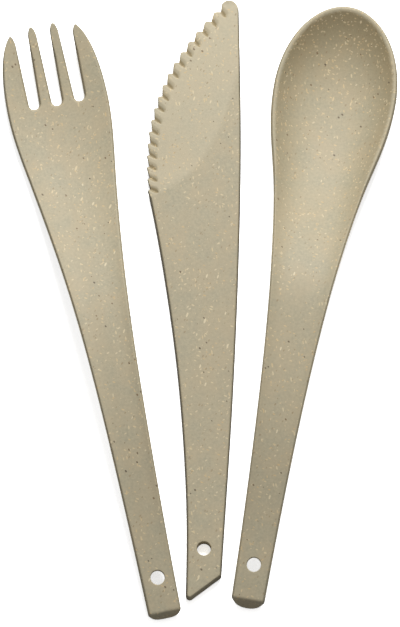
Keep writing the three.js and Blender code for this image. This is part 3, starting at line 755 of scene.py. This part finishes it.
def ground_face(x, y):
    """Half the knife's thickness without its grooves, and the way from the grinding's limit inwards.

    The half thickness falls in a straight line from the limit to the edge. The corner at the limit
    is softened: the way inside is replaced by the mean of itself and its hypotenuse with the ease.
    """
    edge_curve, limit_curve = on_blade(BLADE_EDGE), on_blade(GRIND_LIMIT)
    first = limit_curve[0, 1]
    edge = x_over_y(edge_curve)(np.minimum(y, edge_curve[-1, 1]))
    limit = np.maximum(x_over_y(limit_curve)(y), edge + LEAST_GRIND)
    deepened = smooth_between(y, first - GRIND_BEFORE, first + GRIND_PAST)
    fall = (KNIFE_THICKNESS - BLADE_EDGE_THICKNESS) / 2 * deepened
    inside = (limit - x + np.hypot(limit - x, GRIND_EASE)) / 2
    return KNIFE_THICKNESS / 2 - fall * inside / (limit - edge), limit - x


def blade_half_thickness(flat, teeth):
    """Half the knife's thickness over its flat drawing, and its painted light and tone.

    Each groove cuts into the ground face. It starts at its notch, higher up where the blade is
    thicker. Its walls rise by depth * (1 - (1 - across / wall width) ** power), and steeply past a
    share of their width: a long slope on the tip's side and a short one on the handle's. Its floor
    climbs gently inwards, and at its inner end by a high power of the way. The painted light and tone
    go up to 1 on the ground face, a paler tone, and down to -1 in the grooves as they get deeper,
    which is painted shade.
    """
    x, y = flat.T
    height, inside = ground_face(x, y)
    ahead = y - on_blade(GRIND_LIMIT)[0, 1]
    # Paler tone on the ground face
    painted_light_and_tone = smooth_between(inside, *GRIND_INSIDE) * smooth_between(ahead, *GRIND_AHEAD)
    for _, notch, way in zip(*teeth):
        lift = np.maximum(ground_face(*(notch + LIFT_PLACE * way))[0] - GROOVED_HALF_THICKNESS, 0)
        inward = (flat - notch) @ way
        across = (flat - notch) @ (-way[1], way[0])
        across = np.maximum(across / UPPER_WALL_WIDTH, -across / LOWER_WALL_WIDTH)
        wall = GROOVE_DEPTH * (1 - np.maximum(1 - across, 0) ** WALL_POWER)
        wall = wall + STEEPNESS * np.maximum(across - STEEP_FROM, 0) ** 2
        run_out = RUN_OUT_RISE * (np.maximum(inward, 0) / GROOVE_LENGTH) ** RUN_OUT_POWER
        groove = NOTCH_THICKNESS / 2 + lift + GROOVE_CLIMB * inward + wall + run_out
        reached = (across < GROOVE_REACH) & (inward > GROOVE_START) & (inward < GROOVE_END)
        sunk = np.where(reached, np.maximum(height - groove, 0), 0)
        # Painted shade: browner in each groove as it gets deeper
        painted_light_and_tone = painted_light_and_tone - GROOVE_PAINTED_SHADE * smooth_between(sunk, *GROOVE_SUNK)
        height = np.where(reached, softly_lower(height, groove, GROOVE_EASE), height)
    return height, np.clip(painted_light_and_tone, -1, 1)


def toothed_edge(teeth):
    """Paths down the toothed edge: from each notch over its ledge to the tip, and round the tip.

    The tip is rounded by a quadratic curve that has the sharp tip as its middle control point.
    """
    tips, notches, _ = teeth
    share = np.linspace(0, 1, 9)[:, None]
    below = np.vstack([tips[0] - (0, FIRST_FLANK), notches[:-1]])
    paths = []
    for tip, notch, foot in zip(tips[::-1], notches[::-1], below[::-1]):
        ledge_end = tip + (notch - tip) * TOOTH_TIP_RADIUS / np.hypot(*(notch - tip))
        flank_end = tip + (foot - tip) * TOOTH_TIP_RADIUS / np.hypot(*(foot - tip))
        rounded = (1 - share) ** 2 * ledge_end + 2 * share * (1 - share) * tip + share ** 2 * flank_end
        paths.append(np.vstack([notch, rounded]))
    return paths


def knife_outline(teeth):
    """Paths up the back, round the nose, down the teeth and the belly, and round the slanted end.

    The back and the belly are curves through their knots, and the corners are arcs.
    """
    half = KNIFE_HANDLE_WIDTH / 2
    drop = BLADE_WIDTH - KNIFE_HANDLE_WIDTH - BACK_RISE
    back_at = curve_through([[HEEL + ahead, half + BACK_RISE * share] for ahead, share in BACK_SWELL])
    belly_at = curve_through([[HEEL + ahead, -half - drop * share] for ahead, share in BELLY_SWELL])
    radius = END_CORNER_RADIUS
    low_y, high_y, nose_y = radius, radius + END_SLANT, KNIFE_LENGTH - NOSE_RADIUS
    nose_middle = (back_at(nose_y) - NOSE_RADIUS, nose_y)
    low_middle, high_middle = (belly_at(low_y) + radius, low_y), (back_at(high_y) - radius, high_y)
    back_y, belly_y = np.linspace(high_y, nose_y, 300), np.linspace(HEEL, low_y, 300)
    back = np.column_stack([back_at(back_y), back_y])
    belly = np.column_stack([belly_at(belly_y), belly_y])
    nose = arc(nose_middle, NOSE_RADIUS, 0, np.radians(NOSE_TURN), 30)
    low = arc(low_middle, radius, np.pi, np.radians(LOW_CORNER_END), 12)
    high = arc(high_middle, radius, np.radians(HIGH_CORNER_START), 0, 8)
    below_teeth = belly[:, 1] < teeth[0][0, 1] - BELLY_GAP
    return [np.vstack([back[:-1], nose]), *toothed_edge(teeth), np.vstack([belly[below_teeth], low, high])]


def knife():
    """Knife: a flat slab with soft edges, and a ground blade with teeth and grooves on both faces.

    Half the thickness is a wall at the edge, plus the rise times what the blade has over that wall.
    Along the teeth the wall and the edge radius go over to the teeth's own, and the draft fades.
    """
    teeth = teeth_along_blade()
    tips, notches, ways = teeth
    edge_at = x_over_y(on_blade(BLADE_EDGE))
    first = tips[0, 1] - FIRST_FLANK

    def by_the_teeth(flat):
        """True for the places past the heel and less than the blade's zone from its edge."""
        return (flat[:, 1] > first) & (flat[:, 0] < edge_at(flat[:, 1]) + BLADE_ZONE)

    outline = evenly_spaced(knife_outline(teeth), KNIFE_OUTLINE_STEP)
    toothed = (outline[:, 0] < on_blade([[0, TOOTHED_SHARE]])[0, 0]) & (outline[:, 1] > first)
    toothed = np.convolve(toothed, np.ones(FADE_POINTS) / FADE_POINTS, "same")
    toothed = smooth_between(toothed, 0, 1)
    edge_wall = KNIFE_THICKNESS / 2 - KNIFE_EDGE_RADIUS
    wall = edge_wall + (TOOTH_HALF_WALL - edge_wall) * toothed
    inset = KNIFE_EDGE_RADIUS + (TOOTH_EDGE_RADIUS - KNIFE_EDGE_RADIUS) * toothed
    along = np.arange(CREASE_START, 1.1 * GROOVE_LENGTH, CREASE_STEP)[:, None]
    creases = [notch + way * along for notch, way in zip(notches, ways)]
    loops = [outline, hanging_hole(KNIFE_HOLE)]
    insets = [inset, HOLE_EDGE_RADIUS]
    face = trimmed_face(loops, insets, KNIFE_STEP, by_the_teeth, BLADE_STEP, creases)
    rim = np.tile(wall, EDGE_ROWS)
    hole_rim = np.full(EDGE_ROWS * len(loops[1]), KNIFE_THICKNESS / 2 - HOLE_EDGE_RADIUS)
    rest = np.zeros(len(face.points) - len(rim) - len(hole_rim))
    plain = np.concatenate([np.tile(1 - toothed, EDGE_ROWS), np.zeros_like(hole_rim), rest])
    rim = np.concatenate([rim, hole_rim, rest])
    half, painted_light_and_tone = blade_half_thickness(face.points, teeth)
    half = rim + np.maximum(half - rim, 0) * face.rise
    middle = KNIFE_THICKNESS / 2
    upper = np.column_stack([face.points + DRAFT * face.lean * plain[:, None], middle + half])
    lower = np.column_stack([face.points, middle - half])
    return closed_plate("knife", face, upper, lower, 0, painted_light_and_tone)


def shader_node(nodes, kind, inputs=None, **settings):
    """A shader node with its settings, and with values or links for its inputs by name or number."""
    node = nodes.new(kind)
    for name, value in settings.items():
        setattr(node, name, value)
    for name, value in (inputs or {}).items():
        if isinstance(value, bpy.types.NodeSocket):
            node.id_data.links.new(value, node.inputs[name])
        else:
            node.inputs[name].default_value = value
    return node


def maths(nodes, operation, *values):
    """One sum of two or three values or sockets."""
    return shader_node(nodes, "ShaderNodeMath", dict(enumerate(values)), operation=operation).outputs[0]


def mixed(nodes, share, one, other):
    """One colour blended into another by a share."""
    node = shader_node(nodes, "ShaderNodeMix", data_type="RGBA")
    for socket, value in ((0, share), (6, one), (7, other)):
        if isinstance(value, bpy.types.NodeSocket):
            node.id_data.links.new(value, node.inputs[socket])
        else:
            node.inputs[socket].default_value = value if socket == 0 else (*value, 1)
    return node.outputs[2]


def noise(nodes, place, scale, detail):
    """Smooth random values over the places, with finer ones mixed in."""
    settings = {"Vector": place, "Scale": scale, "Detail": detail}
    return shader_node(nodes, "ShaderNodeTexNoise", settings).outputs[0]


def ranged(nodes, value, low, high, start=0.0, end=1.0):
    """Straight line from a start at low to an end at high, and level outside them."""
    settings = {0: value, 1: low, 2: high, 3: start, 4: end}
    return shader_node(nodes, "ShaderNodeMapRange", settings).outputs[0]


def flakes(nodes, place, cell, stretch, turn, radius, amount):
    """Mask of scattered flakes, one near the middle of some cells of a random cell pattern.

    The places are turned, and squeezed along one way so that the flakes come out long. A flake is
    where the distance to the cell's middle is under its radius, which is 0.5 to 1.2 of the given
    one, and a cell has one if its random value is under the amount. Also gives the cells' random
    colour.
    """
    turned = shader_node(nodes, "ShaderNodeVectorRotate", {"Vector": place, "Angle": turn},
                         rotation_type="Z_AXIS").outputs[0]
    long = shader_node(nodes, "ShaderNodeVectorMath", {0: turned, 1: (1 / stretch, 1, 1)},
                       operation="MULTIPLY").outputs[0]
    cells = shader_node(nodes, "ShaderNodeTexVoronoi", {"Vector": long, "Scale": 1 / cell, "Randomness": 1})
    dice = shader_node(nodes, "ShaderNodeSeparateColor", {"Color": cells.outputs["Color"]})
    size = maths(nodes, "MULTIPLY_ADD", dice.outputs[1], 0.7 * radius, 0.5 * radius)
    near = maths(nodes, "SUBTRACT", size, cells.outputs["Distance"])
    inside = ranged(nodes, near, 0.0, 0.12 * radius)
    chosen = maths(nodes, "LESS_THAN", dice.outputs[0], amount)
    return maths(nodes, "MULTIPLY", inside, chosen), dice.outputs[2]


# Colours of the plastic between its flakes, and how far the painted light and tone take it towards
# two of them: a brown for painted shade, and a pale one for a painted highlight and a paler tone.
# The mottle and the grain are noise, used between a low and a high value.
OLIVE, BEIGE = (0.385, 0.348, 0.246), (0.465, 0.412, 0.283)
GOLDEN = (0.49, 0.405, 0.265)
# Colour of the painted shade
SHADE_BROWN = (0.27, 0.205, 0.10)
# Colour of the painted highlight and of the paler tone
HIGHLIGHT_AND_PALE = (0.60, 0.53, 0.38)
SHADE_BROWN_SHARE, HIGHLIGHT_AND_PALE_SHARE, GOLDEN_SHARE = 0.7, 0.28, 0.55
MOTTLE_RANGE, GRAIN_RANGE = (0.35, 0.65), (0.3, 0.7)

# Layers of flakes: the cell in millimetres, the stretch, the turn in radians, the radius, the share
# of the cells that has one, the two colours between which each flake lies, and how well it covers.
FLAKE_LAYERS = [
    (1.0, 2.2, 0.4, 0.26, 0.38, (0.62, 0.44, 0.22), (0.73, 0.61, 0.38), 0.62),
    (1.15, 2.8, 1.4, 0.24, 0.36, (0.64, 0.48, 0.26), (0.71, 0.61, 0.40), 0.66),
    (1.05, 2.0, 2.5, 0.25, 0.36, (0.60, 0.43, 0.22), (0.72, 0.62, 0.42), 0.62),
    (2.2, 2.6, 1.9, 0.17, 0.18, (0.68, 0.53, 0.31), (0.78, 0.68, 0.47), 0.7),
    (1.15, 1.8, 2.1, 0.23, 0.36, (0.25, 0.17, 0.09), (0.34, 0.26, 0.16), 0.52),
    (1.8, 1.5, 0.9, 0.17, 0.16, (0.07, 0.055, 0.04), (0.2, 0.13, 0.07), 0.8),
]


def straw_plastic():
    """Matt moulded plastic, filled with straw flakes.

    A fine grain blends olive and beige, and a slow mottle adds gold. The piece's painted light and
    tone then blend the colour towards brown, which is painted shade, and towards a paler one, which
    is a painted highlight and a paler tone. Six layers of flakes lie over it, pale, golden, brown and
    nearly black, and they are closer together where the mottle is strong or the painted shade lies.
    A fine uneven skin gives a faint satin.
    """
    material = bpy.data.materials.new("straw_plastic")
    material.use_nodes = True
    nodes, links = material.node_tree.nodes, material.node_tree.links
    shader = nodes["Principled BSDF"]
    given = shader_node(nodes, "ShaderNodeTexCoord").outputs["Object"]
    place = shader_node(nodes, "ShaderNodeVectorMath", {0: given, 3: 1 / MM}, operation="SCALE").outputs[0]
    mottle = noise(nodes, place, 0.12, 3.0)
    grain = noise(nodes, place, 1.1, 2.0)
    painted_light_and_tone = shader_node(nodes, "ShaderNodeAttribute", attribute_name="painted_light_and_tone").outputs["Fac"]
    # Painted shade where the painted light is below 0, painted highlight and paler tone above 0
    painted_shade = maths(nodes, "MAXIMUM", maths(nodes, "MULTIPLY", painted_light_and_tone, -1.0), 0.0)
    painted_highlight_and_paler = maths(nodes, "MAXIMUM", maths(nodes, "MULTIPLY", painted_light_and_tone, HIGHLIGHT_AND_PALE_SHARE), 0.0)
    crowd = ranged(nodes, mottle, *MOTTLE_RANGE, 0.5, 1.4)
    # Flakes also crowd closer in the painted shade
    crowd = maths(nodes, "MULTIPLY_ADD", painted_shade, 1.1, crowd)

    base = mixed(nodes, ranged(nodes, grain, *GRAIN_RANGE), OLIVE, BEIGE)
    base = mixed(nodes, ranged(nodes, mottle, *MOTTLE_RANGE, 0.0, GOLDEN_SHARE), base, GOLDEN)
    # Painted shade: the colour blended towards brown
    base = mixed(nodes, maths(nodes, "MULTIPLY", painted_shade, SHADE_BROWN_SHARE), base, SHADE_BROWN)
    # Painted highlight on the spoon's rim, and a paler tone on the knife's ground face
    base = mixed(nodes, painted_highlight_and_paler, base, HIGHLIGHT_AND_PALE)
    for cell, stretch, turn, radius, share, one, other, cover in FLAKE_LAYERS:
        amount = maths(nodes, "MULTIPLY", crowd, share)
        mask, dice = flakes(nodes, place, cell, stretch, turn, radius, amount)
        flake = mixed(nodes, dice, one, other)
        base = mixed(nodes, maths(nodes, "MULTIPLY", mask, cover), base, flake)
    links.new(base, shader.inputs["Base Color"])

    shader.inputs["Roughness"].default_value = 0.52
    shader.inputs["Specular IOR Level"].default_value = 0.25
    skin = noise(nodes, place, 2.4, 3.0)
    uneven = shader_node(nodes, "ShaderNodeBump", {"Height": skin, "Strength": 0.12, "Distance": 0.4 * MM})
    links.new(uneven.outputs[0], shader.inputs["Normal"])
    return material


def floor():
    """Wide pale floor just under the set.

    The camera sees a bright matt sheet plus a glow, which is white where no shadow falls. The light
    that bounces off it is that of a dark grey one.
    """
    size, gap = 6, 0.0002
    mesh = bpy.data.meshes.new("floor_sheet")
    corners = [(-size, -size, 0), (size, -size, 0), (size, size, 0), (-size, size, 0)]
    mesh.from_pydata(corners, [], [(0, 1, 2, 3)])
    plane = bpy.data.objects.new("floor", mesh)
    bpy.context.scene.collection.objects.link(plane)
    material = bpy.data.materials.new("pale_floor")
    material.use_nodes = True
    nodes, links = material.node_tree.nodes, material.node_tree.links
    nodes.remove(nodes["Principled BSDF"])
    seen = shader_node(nodes, "ShaderNodeLightPath").outputs["Is Camera Ray"]
    bounce = shader_node(nodes, "ShaderNodeBsdfDiffuse", {"Color": (0.2, 0.2, 0.2, 1)}).outputs[0]
    bright = shader_node(nodes, "ShaderNodeBsdfDiffuse", {"Color": (2, 2, 2, 1)}).outputs[0]
    glow = shader_node(nodes, "ShaderNodeEmission", {"Strength": 0.52}).outputs[0]
    shown = shader_node(nodes, "ShaderNodeAddShader", {0: bright, 1: glow}).outputs[0]
    choice = shader_node(nodes, "ShaderNodeMixShader", {0: seen, 1: bounce, 2: shown}).outputs[0]
    links.new(choice, nodes["Material Output"].inputs["Surface"])
    mesh.materials.append(material)
    plane.location.z = -gap


def area_light(name, place, aim, size, power):
    """Square soft light at a place, turned towards its aim.

    It is tipped from straight down by the angle to its aim, and then turned about the upright.
    """
    lamp = bpy.data.lights.new(name, "AREA")
    lamp.size = size
    lamp.energy = power
    holder = bpy.data.objects.new(name, lamp)
    bpy.context.scene.collection.objects.link(holder)
    holder.location = place
    x, y, z = np.array(place) - np.array(aim)
    holder.rotation_euler = (np.arctan2(np.hypot(x, y), z), 0, np.arctan2(x, -y))


def studio():
    """White surroundings for the camera, dim grey ones for the light, and one large soft lamp."""
    dim, white = 0.3, 1
    world = bpy.data.worlds.new("studio")
    world.use_nodes = True
    bpy.context.scene.world = world
    nodes, links = world.node_tree.nodes, world.node_tree.links
    seen = shader_node(nodes, "ShaderNodeLightPath").outputs["Is Camera Ray"]
    strength = maths(nodes, "MULTIPLY_ADD", seen, white - dim, dim)
    links.new(strength, nodes["Background"].inputs["Strength"])
    nodes["Background"].inputs["Color"].default_value = (1, 1, 1, 1)
    area_light("overhead_softbox", place=(0.1, 0.72, 0.78), aim=(0, 0, 0), size=0.45, power=11.5)


def camera():
    """Long lens above the handles' end, 17 degrees off straight down."""
    distance, elevation = 1.5, np.radians(73)
    target = np.array([0.1, -4.47, 4]) * MM
    lens = bpy.data.cameras.new("view")
    lens.lens = 237.6
    lens.clip_end = 20
    holder = bpy.data.objects.new("view", lens)
    bpy.context.scene.collection.objects.link(holder)
    holder.location = target + distance * np.array([0, -np.cos(elevation), np.sin(elevation)])
    holder.rotation_euler = (np.pi / 2 - elevation, 0, 0)
    bpy.context.scene.camera = holder


plastic = straw_plastic()
for piece in (fork(), knife(), spoon()):
    piece.data.materials.append(plastic)
floor()
studio()
camera()
bpy.context.scene.view_settings.view_transform = "Standard"
